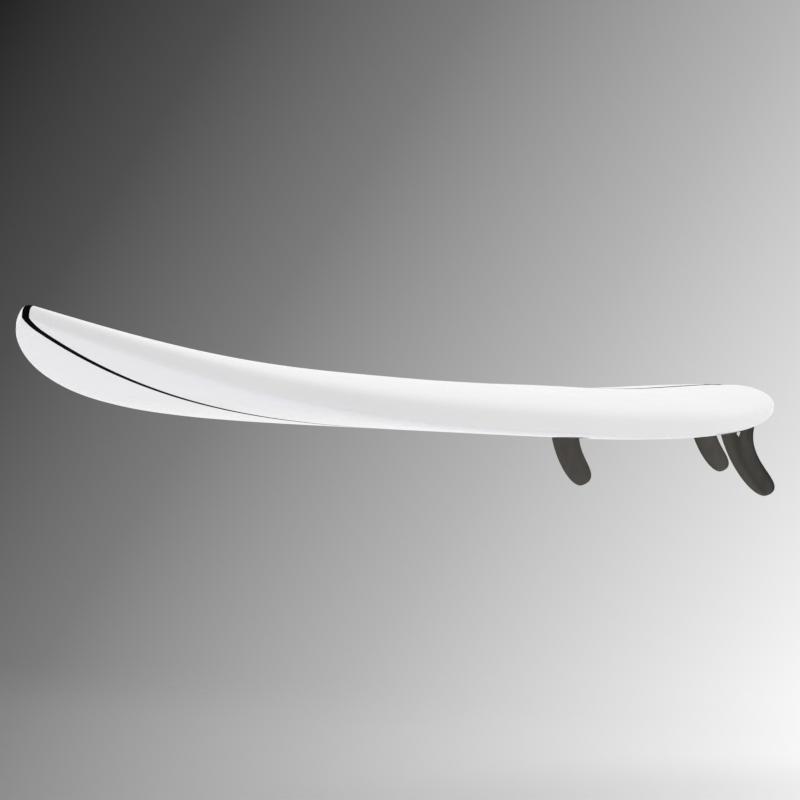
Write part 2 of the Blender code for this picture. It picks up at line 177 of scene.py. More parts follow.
# The light all round: the tones it adds at the back and at the front of a direction. It is
# brightest overhead and on the far side of the board.
OVERHEAD = (0.0, 0.0, 1.0)
FAR_SIDE = (0.4, 0.92, 0.0)
SURROUNDINGS = ((OVERHEAD, (0.64, 0.90)), (FAR_SIDE, (0.10, 0.38)))

# The softboxes: place, size and power in watts.
KEY_LIGHT = ((-1.2, 1.8, 3.0), (4.0, 2.0), 27.0)
FILL_LIGHT = ((1.9, -2.6, -0.25), (1.8, 0.7), 9.0)


# ---------------------------------------------------------------- measuring the frame


def reach(node, direction):
    """The lowest and highest place of a CAD node along a direction."""
    places = [vertex.co.dot(direction) for vertex in NODES[node].data.vertices]
    return min(places), max(places)


def axis_point(node, axis, high=True):
    """The point on a round CAD node's axis at its highest or lowest place along that axis."""
    first = axis.orthogonal().normalized()
    point = axis * reach(node, axis)[1 if high else 0]
    for direction in (first, axis.cross(first)):
        low, top = reach(node, direction)
        point += direction * 0.5 * (low + top)
    return point


def place_at(origin, out, first):
    """A matrix at a point: Z is out, and X is the part of first that is square to it."""
    x = (first - out * first.dot(out)).normalized()
    matrix = Matrix((x, out.cross(x), out)).transposed().to_4x4()
    matrix.translation = origin
    return matrix


# ---------------------------------------------------------------- building meshes


def loft(name, rings, start=None, end=None, shares=None, sharp=50.0):
    """A closed mesh through rings of points. An end is a point, or else a flat face.

    shares holds a pair for each point of each ring, which becomes the mesh's map.
    """
    build = bmesh.new()
    layer = build.loops.layers.uv.new("shares") if shares else None
    rows = [[build.verts.new(point) for point in ring] for ring in rings]
    count = len(rows[0])
    for number in range(len(rows) - 1):
        for i in range(count):
            j = (i + 1) % count
            corners = ((number, i), (number, j), (number + 1, j), (number + 1, i))
            face = build.faces.new([rows[row][column] for row, column in corners])
            if layer:
                for loop, (row, column) in zip(face.loops, corners):
                    loop[layer].uv = shares[row][column]
    for row, tip in ((rows[0], start), (rows[-1], end)):
        if tip is None:
            build.faces.new(row)
            continue
        point = build.verts.new(tip)
        for i in range(count):
            build.faces.new((row[i], row[(i + 1) % count], point))
    return finished(name, build, sharp)


def finished(name, build, sharp=50.0):
    """A smoothly shaded mesh from a bmesh, with its faces pointing out and sharp edges kept."""
    bmesh.ops.recalc_face_normals(build, faces=build.faces)
    mesh = bpy.data.meshes.new(name)
    build.to_mesh(mesh)
    build.free()
    mesh.shade_smooth()
    mesh.set_sharp_from_angle(angle=math.radians(sharp))
    return mesh


def circle(radius, height, steps, phase=0.0):
    """Points round Z at a height."""
    turns = [2.0 * math.pi * (step + phase) / steps for step in range(steps)]
    return [Vector((radius * math.cos(turn), radius * math.sin(turn), height)) for turn in turns]


def turned(name, profile, steps=64, sharp=30.0):
    """A solid turned about Z from (radius, height) pairs; its ends lie on the axis."""
    rings = [circle(radius, height, steps) for radius, height in profile[1:-1]]
    start = Vector((0.0, 0.0, profile[0][1]))
    end = Vector((0.0, 0.0, profile[-1][1]))
    return loft(name, rings, start, end, sharp=sharp)


def rounded(corners, radius, steps=4):
    """A profile whose inner corners are each replaced by an arc of a radius."""
    points = [corners[0]]
    for before, corner, after in zip(corners, corners[1:], corners[2:]):
        corner = Vector(corner)
        arms = [Vector(other) - corner for other in (before, after)]
        cut = min(radius, 0.45 * arms[0].length, 0.45 * arms[1].length)
        first, last = (corner + arm.normalized() * cut for arm in arms)
        for step in range(steps + 1):
            share = step / steps
            blend = first.lerp(corner, share).lerp(corner.lerp(last, share), share)
            points.append(tuple(blend))
    return points + [corners[-1]]


def block(name, size, centre, rounding):
    """A box with its edges rounded off."""
    build = bmesh.new()
    bmesh.ops.create_cube(build, size=1.0)
    bmesh.ops.scale(build, verts=build.verts, vec=size)
    bmesh.ops.translate(build, verts=build.verts, vec=centre)
    bmesh.ops.bevel(
        build,
        geom=build.edges[:],
        offset=rounding,
        segments=3,
        affect="EDGES",
        profile=0.5,
        clamp_overlap=True,
    )
    return finished(name, build, 40.0)


def new_piece(name, mesh, matrix=None):
    """An object for a mesh, at a place in the frame."""
    piece = bpy.data.objects.new(name, mesh)
    bpy.context.scene.collection.objects.link(piece)
    if matrix:
        piece.matrix_world = matrix
    return piece


def joined(target, tools, operation, sharp=35.0):
    """The target with other objects cut out of it or joined to it, which are then removed."""
    for tool in tools:
        modifier = target.modifiers.new(tool.name, "BOOLEAN")
        modifier.operation = operation
        modifier.solver = "EXACT"
        modifier.object = tool
    bpy.context.view_layer.update()
    graph = bpy.context.evaluated_depsgraph_get()
    mesh = bpy.data.meshes.new_from_object(target.evaluated_get(graph))
    target.modifiers.clear()
    mesh.name = target.data.name
    target.data = mesh
    mesh.set_sharp_from_angle(angle=math.radians(sharp))
    for tool in tools:
        bpy.data.objects.remove(tool, do_unlink=True)
    return target


def dressed(piece, body, slot, look, *nodes):
    """A piece with its material, on its CAD body, standing for its CAD nodes."""
    piece.data.materials.clear()
    piece.data.materials.append(look)
    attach(piece, body)
    if nodes:
        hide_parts(*nodes)
    return piece


# ---------------------------------------------------------------- the hull


def end_share(station, turning_point):
    """How far a station is from the turning point towards its end (0 to 1), and which end."""
    if station < turning_point:
        return (turning_point - station) / turning_point, "nose"
    return (station - turning_point) / (LENGTH - turning_point), "tail"


def half_width(station):
    """The outline: half the board's width."""
    share, end = end_share(station, WIDE_POINT)
    first, second = OUTLINE_POWERS[end]
    return 0.5 * WIDTH * max(1.0 - share**first, 0.0) ** (1.0 / second)


def swell(station, swells):
    """The sum at a station of smooth swells, each a middle station and a height."""
    reaches = [((station - middle) / SWELL_REACH, height) for middle, height in swells]
    return sum(height * math.exp(-0.5 * reach**2) for reach, height in reaches)


def rocker(station):
    """The height of the underside on the centre plane, short of the tips' rounding."""
    share, end = end_share(station, LOW_POINT)
    rise = NOSE_ROCKER if end == "nose" else TAIL_ROCKER
    return rise * share ** ROCKER_POWERS[end] + swell(station, ROCKER_SWELLS)


def thickness(station):
    """The hull's thickness on the centre plane, short of the tips' rounding."""
    share, end = end_share(station, THICK_POINT)
    tip = NOSE_THICKNESS if end == "nose" else TAIL_THICKNESS
    full = tip + (THICKNESS - tip) * max(1.0 - share**2, 0.0) ** FOIL_POWERS[end]
    return full + swell(station, THICKNESS_SWELLS)


def rail_height(station):
    """The height of the rail line, where the deck and the underside meet."""
    return rocker(station) + thickness(station) * RAIL_APEX


def depth_from_rail(station, side):
    """How far the deck (side 1) or the underside (-1) stands off the rail line's height."""
    share, rounding = (1.0 - RAIL_APEX, DECK_ROUNDING) if side > 0 else (RAIL_APEX, BOTTOM_ROUNDING)
    to_tip = min(station, LENGTH - station)
    reached = rounding["nose" if station < WIDE_POINT else "tail"]
    kept = 1.0 if to_tip > reached else math.sqrt(max(1.0 - (1.0 - to_tip / reached) ** 2, 0.0))
    return thickness(station) * share * kept


def hull_arc(station, side, skin=0.0):
    """One side of a section from rail to rail: side 1 is the deck and -1 the underside.

    The points are evenly spaced in angle on the section's unit curve, which puts enough of them
    round the tuck of the rail. skin moves the arc into the hull.
    """
    power = DECK_POWER if side > 0 else BOTTOM_POWER
    level = rail_height(station)
    width = max(half_width(station) - skin, 0.97 * half_width(station) if skin else 0.0)
    height = max(depth_from_rail(station, side) - skin, 0.0)
    points = []
    for step in range(HULL_ARC_STEPS + 1):
        turn = math.pi * (1.0 - step / HULL_ARC_STEPS)
        across, up = math.cos(turn), math.sin(turn)
        size = (abs(across) ** power + abs(up) ** power) ** (-1.0 / power)
        points.append(
            Vector((NOSE_X + station, width * size * across, level + side * height * size * up))
        )
    return points


def skin_mesh(name, side):
    """A laminate's shell, from rail to rail and from tip to tip; its map holds, for each point,
    the distance in from the rail and the station."""
    turns = [math.pi * step / HULL_STATIONS for step in range(1, HULL_STATIONS)]
    stations = [0.5 * LENGTH * (1.0 - math.cos(turn)) for turn in turns]
    rings, shares = [], []
    for station in stations:
        outer = hull_arc(station, side)
        inner = hull_arc(station, side, SKIN)
        ring = outer + inner[::-1]
        rings.append(ring)
        edge = half_width(station)
        shares.append([(edge - abs(point.y), station) for point in ring])
    tips = [Vector((NOSE_X + at, 0.0, rail_height(at))) for at in (0.0, LENGTH)]
    return loft(name, rings, tips[0], tips[1], shares)


def pocket_cutter(name, node, out, first):
    """A round cutter through the skin where a flanged CAD fitting sits."""
    top = axis_point(node, out)
    low, high = reach(node, place_at(top, out, first).col[0].to_3d())
    radius = 0.5 * (high - low) + POCKET_GAP
    profile = ((0.0, -radius), (radius, -radius), (radius, radius), (0.0, radius))
    return new_piece(name, turned(name, profile, 96), place_at(top, out, first))


def make_hull():
    """The deck and bottom skins, with the pockets for the plugs and the leash cup."""
    deck = new_piece("deck_skin", skin_mesh("deck_skin", 1))
    bottom = new_piece("bottom_skin", skin_mesh("bottom_skin", -1))
    cutters = []
    for side in FIN_SIDES:
        for place in ("front", "rear"):
            node = f"{side}_{place}_fin_plug"
            cutters.append(pocket_cutter(f"{node}_cutter", node, AXES[f"{side}_fin"], AFT))
    joined(bottom, cutters, "DIFFERENCE")
    out = Vector(MOUNTS["leash_cup_rim"]["axis"]).normalized()
    joined(deck, [pocket_cutter("cup_cutter", "leash_cup", out, AFT)], "DIFFERENCE")
    dressed(deck, "board", "laminate", gloss_laminate("deck_gloss", True), "deck_laminate")
    dressed(bottom, "board", "laminate", gloss_laminate("bottom_gloss", False), "bottom_laminate")


# ---------------------------------------------------------------- the fins and their fittings


def foil_thickness(share):
    """A foil's thickness as a share of its greatest, at a share of the chord from the front."""
    root = 0.2969 * math.sqrt(share)
    return 10.0 * (root - 0.126 * share - 0.3516 * share**2 + 0.2843 * share**3 - 0.1036 * share**4)


def blade_ring(share, depth, outward):
    """The blade's section at a share of its depth, with its map of chord and depth shares.

    outward is the foiled side, or 0 for both; the map's chord share has 2 added on the other side.
    """
    sweep = depth * (BLADE_SWEEP[0] * share + BLADE_SWEEP[1] * share**2)
    chord = depth * sum(part * share**power for power, part in enumerate(BLADE_CHORD))
    kept = math.sqrt(1.0 - share**BLADE_TIP_POWER)
    front = sweep + (1.0 - kept) * chord * BLADE_TIP_LEAD - 0.5 * depth * BLADE_CHORD[0]
    greatest = BLADE_THICKNESS * (1.0 - BLADE_TIP_THINNING * share) * min(1.0, 2.0 * kept) ** 0.7
    faces, marks = ([], []), ([], [])
    for step in range(FOIL_STEPS + 1):
        at = 0.5 - 0.5 * math.cos(math.pi * step / FOIL_STEPS)
        # Behind its front, the foil stays as thick as the edge, and its last point is eased.
        edge = min(BLADE_EDGE, 0.5 * chord * kept, greatest) * min(1.0, math.sqrt(12.0 * at))
        thick = max(greatest * foil_thickness(at), edge)
        if step == FOIL_STEPS:
            thick *= 0.6
        inner = -0.5 * thick if outward == 0 else -BLADE_FLAT_SIDE
        for face, mark, offset, add in zip(faces, marks, (inner + thick, inner), (0.0, 2.0)):
            face.append((front + at * chord * kept, offset if outward >= 0 else -offset))
            mark.append((at + add, share))
    # The two faces share their first point, where the thickness is nought.
    outline = faces[0] + faces[1][:0:-1]
    down = BLADE_ROOT + share * (depth - BLADE_ROOT)
    lean = BLADE_CANT * outward
    ring = [
        Vector((x, y * math.cos(lean) + down * math.sin(lean), down * math.cos(lean)))
        for x, y in outline
    ]
    return ring, marks[0] + marks[1][:0:-1]


def fin_mesh(name, depth, outward):
    """The blade of a fin, from its root at the hull to its tip."""
    rings, shares = [], []
    for row in range(BLADE_ROWS + 1):
        share = min(1.0 - (1.0 - row / BLADE_ROWS) ** 1.8, 0.9998)
        ring, marks = blade_ring(share, depth, outward)
        rings.append(ring)
        shares.append(marks)
    return loft(name, rings, shares=shares, sharp=35.0)


def make_fin(side, outward, look):
    """A fin with its two tabs, in the frame of its own plugs."""
    node = f"{side}_fin"
    out = AXES[node]
    tops = [axis_point(f"{side}_{place}_fin_plug", out) for place in ("front", "rear")]
    site = place_at(0.5 * (tops[0] + tops[1]), out, tops[1] - tops[0])
    depth = (reach(node, out)[1] - site.translation.dot(out)) / math.cos(BLADE_CANT * outward)
    fin = new_piece(f"{side}_fin_blade", fin_mesh(node, depth, outward), site)
    tabs = []
    for place, top in zip(("front", "rear"), tops):
        size = (TAB_LENGTH, TAB_THICKNESS, TAB_DEPTH + TAB_ROOT)
        centre = (0.0, 0.0, 0.5 * (TAB_ROOT - TAB_DEPTH))
        mesh = block("tab", size, centre, TAB_ROUNDING)
        tabs.append(new_piece(f"{side}_{place}_tab", mesh, place_at(top, out, tops[1] - tops[0])))
    joined(fin, tabs, "UNION")
    fin.data.transform(site)
    fin.matrix_world = Matrix.Identity(4)
    dressed(fin, node, "fin", look, node)


def screw_mesh():
    """A grub screw with its cone point at the origin, a real thread and a hexagonal socket."""
    low, high = reach("left_front_grub_screw", AXES["left_front_grub_screw"])
    length = high - low
    crest = 0.5 * screw_width()
    tip, cone = 0.4 * crest, 0.8 * crest
    rings = [circle(tip, 0.0, SCREW_STEPS)]
    top = length - 0.5 * THREAD_DEPTH
    count = int(THREAD_ROWS * (top - cone) / THREAD_PITCH)
    for number in range(count + 1):
        height = cone + (top - cone) * number / count
        fade = min(1.0, (height - cone) / THREAD_PITCH, (top - height) / THREAD_PITCH)
        ring = []
        for point in circle(1.0, height, SCREW_STEPS):
            turn = math.atan2(point.y, point.x) / (2.0 * math.pi)
            phase = (height / THREAD_PITCH - turn) % 1.0
            groove = 1.0 - abs(2.0 * phase - 1.0)
            radius = crest - THREAD_DEPTH * (groove * fade + 0.25 * (1.0 - fade))
            ring.append(Vector((radius * point.x, radius * point.y, height)))
        rings.append(ring)
    rings.append(circle(crest - 1.4 * THREAD_DEPTH, length, SCREW_STEPS))
    screw = new_piece("screw", loft("grub_screw", rings, sharp=40.0))
    floor, above = length - SOCKET_DEPTH, 2.0 * length
    hexagon = [circle(SOCKET_RADIUS, floor, 6), circle(SOCKET_RADIUS, above, 6)]
    drill = Vector((0.0, 0.0, floor - 0.35 * SOCKET_RADIUS))
    socket = new_piece("socket", loft("socket", hexagon, drill, sharp=20.0))
    mesh = joined(screw, [socket], "DIFFERENCE").data
    bpy.data.objects.remove(screw, do_unlink=True)
    return mesh


def screw_width():
    """A grub screw's diameter."""
    axis = AXES["left_front_grub_screw"]
    low, high = reach("left_front_grub_screw", axis.orthogonal().normalized())
    return high - low


def plug_place(side, place):
    """The matrix of a plug: Z out of its mouth and Y towards its grub screw."""
    out = AXES[f"{side}_fin"]
    lean = AXES[f"{side}_{place}_grub_screw"]
    y = (lean - out * lean.dot(out)).normalized()
    return place_at(axis_point(f"{side}_{place}_fin_plug", out), out, y.cross(out))


def plug_mesh():
    """A fin plug in its own frame: ribbed body, flush flange, slot and slanting screw hole."""
    node, screw = "left_front_fin_plug", "left_front_grub_screw"
    matrix = plug_place("left", "front")
    low, high = reach(node, matrix.col[0].to_3d())
    flange = 0.5 * (high - low)
    low, high = reach(node, matrix.col[2].to_3d())
    deep = high - low
    body = flange - PLUG_WALL_STEP
    corners = [(0.0, 0.0), (flange, 0.0), (flange, -PLUG_FLANGE), (body, -PLUG_FLANGE)]
    for rib in range(PLUG_RIBS):
        top = PLUG_FLANGE + (deep - PLUG_FLANGE) * (rib + 0.35) / PLUG_RIBS
        foot = PLUG_FLANGE + (deep - PLUG_FLANGE) * (rib + 0.75) / PLUG_RIBS
        groove = body - PLUG_RIB
        corners += [(body, -top), (groove, -top), (groove, -foot), (body, -foot)]
    corners += [(body, -deep), (0.0, -deep)]
    plug = new_piece("plug", turned("fin_plug", rounded(corners, 0.00025, 3), 96))

    slack = 2.0 * SLOT_CLEARANCE
    size = (TAB_LENGTH + slack, TAB_THICKNESS + slack, 2.0 * SLOT_DEPTH)
    slot = new_piece("slot", block("slot", size, (0.0, 0.0, 0.0), SLOT_ROUNDING))
    inverse = matrix.inverted()
    tip = inverse @ axis_point(screw, AXES[screw], high=False)
    lean = inverse.to_3x3() @ AXES[screw]
    mouth = tip - lean * (tip.z / lean.z)
    radius = 0.5 * screw_width() + SCREW_CLEARANCE
    profile = (
        (0.0, -SCREW_HOLE_DEPTH),
        (radius, -SCREW_HOLE_DEPTH),
        (radius, -MOUTH_HALF_SLOPE),
        (radius + MOUTH_WIDENING, MOUTH_HALF_SLOPE),
        (radius + MOUTH_WIDENING, SCREW_HOLE_ABOVE),
        (0.0, SCREW_HOLE_ABOVE),
    )
    hole = new_piece("hole", turned("hole", profile, 48), place_at(mouth, lean, AFT))
    mesh = joined(plug, [slot, hole], "DIFFERENCE").data
    bpy.data.objects.remove(plug, do_unlink=True)
    return mesh


def make_fins():
    """The three fins, and the plug and grub screw of each of their tabs."""
    plug, screw = plug_mesh(), screw_mesh()
    plastic = moulded_plastic("plug_plastic", (0.80, 0.80, 0.785), (0.70, 0.70, 0.68), 0.42)
    steel = brushed_steel("screw_steel", 0.50)
    composite = {True: fin_composite("side_fin_composite", True)}
    composite[False] = fin_composite("centre_fin_composite", False)
    for side, outward in FIN_SIDES.items():
        make_fin(side, outward, composite[outward != 0])
        for place in ("front", "rear"):
            node = f"{side}_{place}_fin_plug"
            piece = new_piece(f"{side}_{place}_plug", plug, plug_place(side, place))
            dressed(piece, "board", "plug", plastic, node)
            node = f"{side}_{place}_grub_screw"
            axis = AXES[node]
            matrix = place_at(axis_point(node, axis, high=False), axis, AFT)
            piece = new_piece(f"{side}_{place}_screw", screw, matrix)
            dressed(piece, node, "screw", steel, node)


def make_leash_cup():
    """The leash cup, let into the deck, and the steel bar across its mouth."""
    out = Vector(MOUNTS["leash_cup_rim"]["axis"]).normalized()
    matrix = place_at(axis_point("leash_cup", out), out, AFT)
    low, high = reach("leash_cup", matrix.col[0].to_3d())
    flange = 0.5 * (high - low)
    low, high = reach("leash_cup", out)
    deep = high - low
    floor = -deep + CUP_FLOOR
    body = flange - CUP_WALL_STEP
    corners = [
        (0.0, floor),
        (CUP_FLOOR_RADIUS, floor),
        (CUP_MOUTH_RADIUS, floor + CUP_MOUTH_RADIUS - CUP_FLOOR_RADIUS),
        (CUP_MOUTH_RADIUS, 0.0),
        (flange, 0.0),
        (flange, -CUP_FLANGE),
        (body, -CUP_FLANGE),
        (body, -deep),
        (0.0, -deep),
    ]
    cup = new_piece("leash_cup_bowl", turned("leash_cup_bowl", rounded(corners, 0.0007, 5), 96), matrix)

    # The bar lies across the board, and its place along the cup comes from its own box.
    across = Vector((0.0, 1.0, 0.0))
    low, high = reach("leash_bar", across)
    half = 0.5 * (high - low)
    top = axis_point("leash_bar", across)
    middle = top - across * half
    low, high = reach("leash_bar", out)
    radius = 0.5 * (high - low)
    profile = [(0.0, -half), (radius, -half), (radius, half), (0.0, half)]
    bar_mesh = turned("leash_rod", rounded(profile, 0.0005, 4), 40)
    bar = new_piece("leash_rod", bar_mesh, place_at(middle, across, AFT))
    bore = radius + SCREW_CLEARANCE
    reach_out = 2.0 * half
    profile = [(0.0, -reach_out), (bore, -reach_out), (bore, reach_out), (0.0, reach_out)]
    hole = new_piece("bar_hole", turned("bar_hole", profile, 40), place_at(middle, across, AFT))
    joined(cup, [hole], "DIFFERENCE")
    plastic = moulded_plastic("cup_plastic", (0.012, 0.012, 0.013), (0.030, 0.029, 0.027), 0.30)
    dressed(cup, "board", "cup", plastic, "leash_cup")
    dressed(bar, "board", "bar", brushed_steel("bar_steel", 0.60), "leash_bar")


# ---------------------------------------------------------------- materials


class Look:
    """A procedural material. Its methods add nodes and return their output sockets."""

    def __init__(self, name):
        self.material = bpy.data.materials.new(name)
        self.material.use_nodes = True
        self.tree = self.material.node_tree
        self.shader = self.tree.nodes["Principled BSDF"]
        self.place = self.node("ShaderNodeTexCoord").outputs["Object"]

    def node(self, kind, inputs=None, **settings):
        """A node of a kind, with its settings, and values or sockets for its inputs."""
        made = self.tree.nodes.new(kind)
        for name, setting in settings.items():
            setattr(made, name, setting)
        for name, given in (inputs or {}).items():
            self.give(made.inputs[name], given)
        return made

    def give(self, socket, given):
        """Links an input to a socket, or sets its value."""
        if isinstance(given, bpy.types.NodeSocket):
            self.tree.links.new(given, socket)
        else:
            socket.default_value = given

    def surface(self, **inputs):
        """Sets the shader's inputs; an underscore stands for a space in their names."""
        for name, given in inputs.items():
            self.give(self.shader.inputs[name.replace("_", " ")], given)

    def math(self, operation, first, second=0.0):
        """One sum on values or sockets."""
        return self.node("ShaderNodeMath", {0: first, 1: second}, operation=operation).outputs[0]

    def ramp(self, given, low, high, to_low=0.0, to_high=1.0):
        """A smooth step of a value from one range into another."""
        inputs = {"Value": given, "From Min": low, "From Max": high, "To Min": to_low, "To Max": to_high}
        made = self.node("ShaderNodeMapRange", inputs, interpolation_type="SMOOTHSTEP")
        return made.outputs["Result"]

    def mix(self, factor, first, second):
        """A colour between two colours."""
        inputs = {0: factor, 6: first, 7: second}
        return self.node("ShaderNodeMix", inputs, data_type="RGBA").outputs[2]

    def parts(self, vector):
        """The three parts of a vector."""
        return self.node("ShaderNodeSeparateXYZ", {0: vector}).outputs[:3]

    def stretched(self, vector, scale):
        """A vector with each part scaled."""
        made = self.node("ShaderNodeVectorMath", {0: vector, 1: scale}, operation="MULTIPLY")
        return made.outputs["Vector"]

    def noise(self, vector, scale, detail=3.0):
        """Cloudy noise, with a scale for each direction in cycles per metre."""
        inputs = {"Vector": self.stretched(vector, scale), "Scale": 1.0, "Detail": detail}
        return self.node("ShaderNodeTexNoise", inputs).outputs["Fac"]

    def cells(self, vector, size):
        """The distance from the middle of cells of a size, for foam and moulded grain."""
        inputs = {"Vector": vector, "Scale": 1.0 / size}
        return self.node("ShaderNodeTexVoronoi", inputs).outputs["Distance"]

    def weave(self, vector, pitch):
        """A plain cloth weave of a pitch in the XY plane, from -1 to 1."""
        rate = math.pi / pitch
        x, y, _ = self.parts(vector)
        threads = [self.math("SINE", self.math("MULTIPLY", part, rate)) for part in (x, y)]
        return self.math("MULTIPLY", *threads)

    def bump(self, height, distance, normal=None):
        """A normal for a height map whose full range is a distance."""
        inputs = {"Height": height, "Distance": distance, "Strength": 1.0}
        if normal:
            inputs["Normal"] = normal
        return self.node("ShaderNodeBump", inputs).outputs["Normal"]


def grey(level, warmth=0.0):
    """A near-grey colour; warmth takes a little off the blue."""
    return (level, level * (1.0 - 0.4 * warmth), level * (1.0 - warmth), 1.0)


def gloss_laminate(name, lapped):
    """White foam seen through glass cloth and polished resin, with the stringer as a black line."""
    look = Look(name)
    _, y, _ = look.parts(look.place)
    from_centre = look.math("ABSOLUTE", y)
    from_rail, _, _ = look.parts(look.node("ShaderNodeUVMap", uv_map="shares").outputs["UV"])

    # Foam: soft clouds of tone, with fine cells just visible up close.
    clouds = look.ramp(look.noise(look.place, (2.5, 4.0, 4.0), 4.0), 0.3, 0.7)
    white = look.mix(clouds, grey(0.872, 0.004), grey(0.890, -0.006))
    cells = look.ramp(look.cells(look.place, 0.0012), 0.25, 0.75, 0.0, 0.05)
    white = look.mix(cells, white, grey(0.70, 0.02))

    # Cloth: the edge where a lap of cloth ends is a faint, slightly wavy line near the rail.
    if lapped:
        wander = look.noise(look.place, (9.0, 9.0, 9.0), 2.0)
        lap = look.math("ADD", from_rail, look.math("MULTIPLY", wander, LAP_WANDER))
        lap = look.math("SUBTRACT", lap, LAP_WIDTH + 0.5 * LAP_WANDER)
        edge = look.ramp(look.math("ABSOLUTE", lap), 0.0002, 0.0020, 0.03, 0.0)
        white = look.mix(edge, white, grey(0.62, 0.03))
        white = look.mix(look.ramp(lap, -0.0020, 0.0020, 0.03, 0.0), white, grey(0.82, 0.02))

    # Stringer: near black, with long grain and a thin glue line at each edge.
    grain = look.ramp(look.noise(look.place, (5.0, 1400.0, 60.0), 3.0), 0.35, 0.7)
    black = look.mix(grain, grey(0.0006), grey(0.0035, 0.08))
    glue = look.math("SUBTRACT", from_centre, STRINGER_HALF)
    glue = look.ramp(look.math("ABSOLUTE", glue), 0.0, 0.0005, 0.20, 0.0)
    white = look.mix(glue, white, grey(0.45, 0.10))
    line = look.ramp(from_centre, STRINGER_HALF - 0.0001, STRINGER_HALF + 0.0001, 1.0, 0.0)
    colour = look.mix(line, white, black)

    # Gloss: handling smudges and hair scratches in the polish, and the long waves of sanding.
    smudge = look.ramp(look.noise(look.place, (7.0, 16.0, 16.0), 5.0), 0.45, 0.75, 0.025, 0.10)
    hair = look.ramp(look.noise(look.place, (25.0, 1600.0, 1600.0), 2.0), 0.70, 0.80, 0.0, 0.10)
    waves = look.noise(look.place, (14.0, 22.0, 22.0), 1.0)
    cloth = look.weave(look.place, 0.0006)
    look.surface(
        Base_Color=colour,
        Roughness=look.ramp(clouds, 0.0, 1.0, 0.40, 0.46),
        Normal=look.bump(cloth, 0.000012),
        Specular_IOR_Level=look.ramp(line, 0.0, 1.0, 0.5, 0.02),
        IOR=look.ramp(line, 0.0, 1.0, 1.5, 1.03),
        Coat_Weight=look.ramp(line, 0.0, 1.0, 1.0, 0.015),
        Coat_Roughness=look.math("ADD", smudge, hair),
        Coat_IOR=1.52,
        Coat_Normal=look.bump(waves, 0.00022),
    )
    return look.material


def fin_composite(name, marked_and_shaded):
    """Dark satin composite with streaks of fibre from root to tip, and painted light, on the blade's own map."""
    look = Look(name)
    chord, depth, _ = look.parts(look.node("ShaderNodeUVMap", uv_map="shares").outputs["UV"])
    across = look.math("FRACT", chord)
    fibre_place = look.node("ShaderNodeCombineXYZ", {0: across, 1: depth, 2: chord}).outputs[0]
    streaks = look.ramp(look.noise(fibre_place, (55.0, 2.2, 1.0), 4.0), 0.30, 0.72)
    patches = look.ramp(look.noise(look.place, (32.0, 32.0, 32.0), 4.0), 0.35, 0.70)
    base = look.mix(streaks, grey(0.052, 0.25), grey(0.059, 0.28))
    base = look.mix(look.math("MULTIPLY", patches, 0.45), base, grey(0.051, 0.26))
    # Painted light on every fin: the front of the foil is painted lighter as a highlight, and the rear painted
    # darker as shade.
    front = look.ramp(across, 0.05, 0.34, 0.7, 0.0)
    base = look.mix(front, base, grey(0.062, 0.32))
    rear = look.ramp(across, 0.60, 0.95, 0.0, 0.75)
    base = look.mix(rear, base, grey(0.040, 0.32))
    if marked_and_shaded:
        # Painted light on the outer face of a side fin: the whole face is painted darker as shade, its front
        # lighter as a highlight and its rear near black as shade.
        outer = look.ramp(chord, 1.4, 1.6, 1.0, 0.0)
        outer_face_painted_shade = look.mix(streaks, grey(0.025, 0.42), grey(0.031, 0.42))
        outer_face_painted_shade = look.mix(front, outer_face_painted_shade, grey(0.094, 0.26))
        outer_face_painted_shade = look.mix(rear, outer_face_painted_shade, grey(0.004, 0.40))
        base = look.mix(outer, base, outer_face_painted_shade)

    cloth = look.weave(look.place, 0.0011)
    base = look.mix(look.ramp(cloth, -0.4, 0.9, 0.0, 0.10), base, grey(0.085, 0.25))

    # Wear: pale scuffs that gather at the tip and along the edges.
    scuffs = look.ramp(look.noise(look.place, (260.0, 260.0, 60.0), 4.0), 0.58, 0.72)
    near_tip = look.ramp(depth, 0.86, 1.0, 0.0, 0.7)
    near_front = look.ramp(across, 0.0, 0.035, 0.6, 0.0)
    worn = look.math("MULTIPLY", scuffs, look.math("MAXIMUM", near_tip, near_front))
    base = look.mix(worn, base, grey(0.17, 0.08))
    rough = look.ramp(patches, 0.0, 1.0, 0.34, 0.46)
    rough = look.math("ADD", rough, look.math("MULTIPLY", worn, 0.25))

    # A small plain lozenge printed at the root of the outer face.
    if marked_and_shaded:
        sizes = []
        for share, middle, half in zip((chord, depth), MARK_PLACE, MARK_HALF_SIZE):
            away = look.math("DIVIDE", look.math("SUBTRACT", share, middle), half)
            sizes.append(look.math("ABSOLUTE", away))
        size = look.math("ADD", *sizes)
        base = look.mix(look.ramp(size, 0.94, 1.04, 0.92, 0.0), base, grey(0.80, -0.02))

    ridges = look.math("ADD", look.math("MULTIPLY", streaks, 0.6), look.math("MULTIPLY", cloth, 0.4))
    look.surface(
        Base_Color=base,
        Roughness=rough,
        Normal=look.bump(ridges, 0.00003),
        Specular_IOR_Level=0.06,
        Coat_Weight=0.02,
        Coat_Roughness=0.24,
        Coat_Normal=look.bump(look.noise(look.place, (60.0, 60.0, 24.0), 2.0), 0.00010),
    )
    return look.material


def moulded_plastic(name, colour, worn_colour, roughness):
    """Fine-grained moulded plastic, with soft scuffs and dust."""
    look = Look(name)
    scuffs = look.ramp(look.noise(look.place, (420.0, 420.0, 420.0), 5.0), 0.52, 0.70, 0.0, 0.55)
    base = look.mix(scuffs, (*colour, 1.0), (*worn_colour, 1.0))
    grain = look.cells(look.place, 0.00035)
    rough = look.ramp(scuffs, 0.0, 0.55, roughness, roughness + 0.18)
    look.surface(Base_Color=base, Roughness=rough, Normal=look.bump(grain, 0.00001))
    return look.material


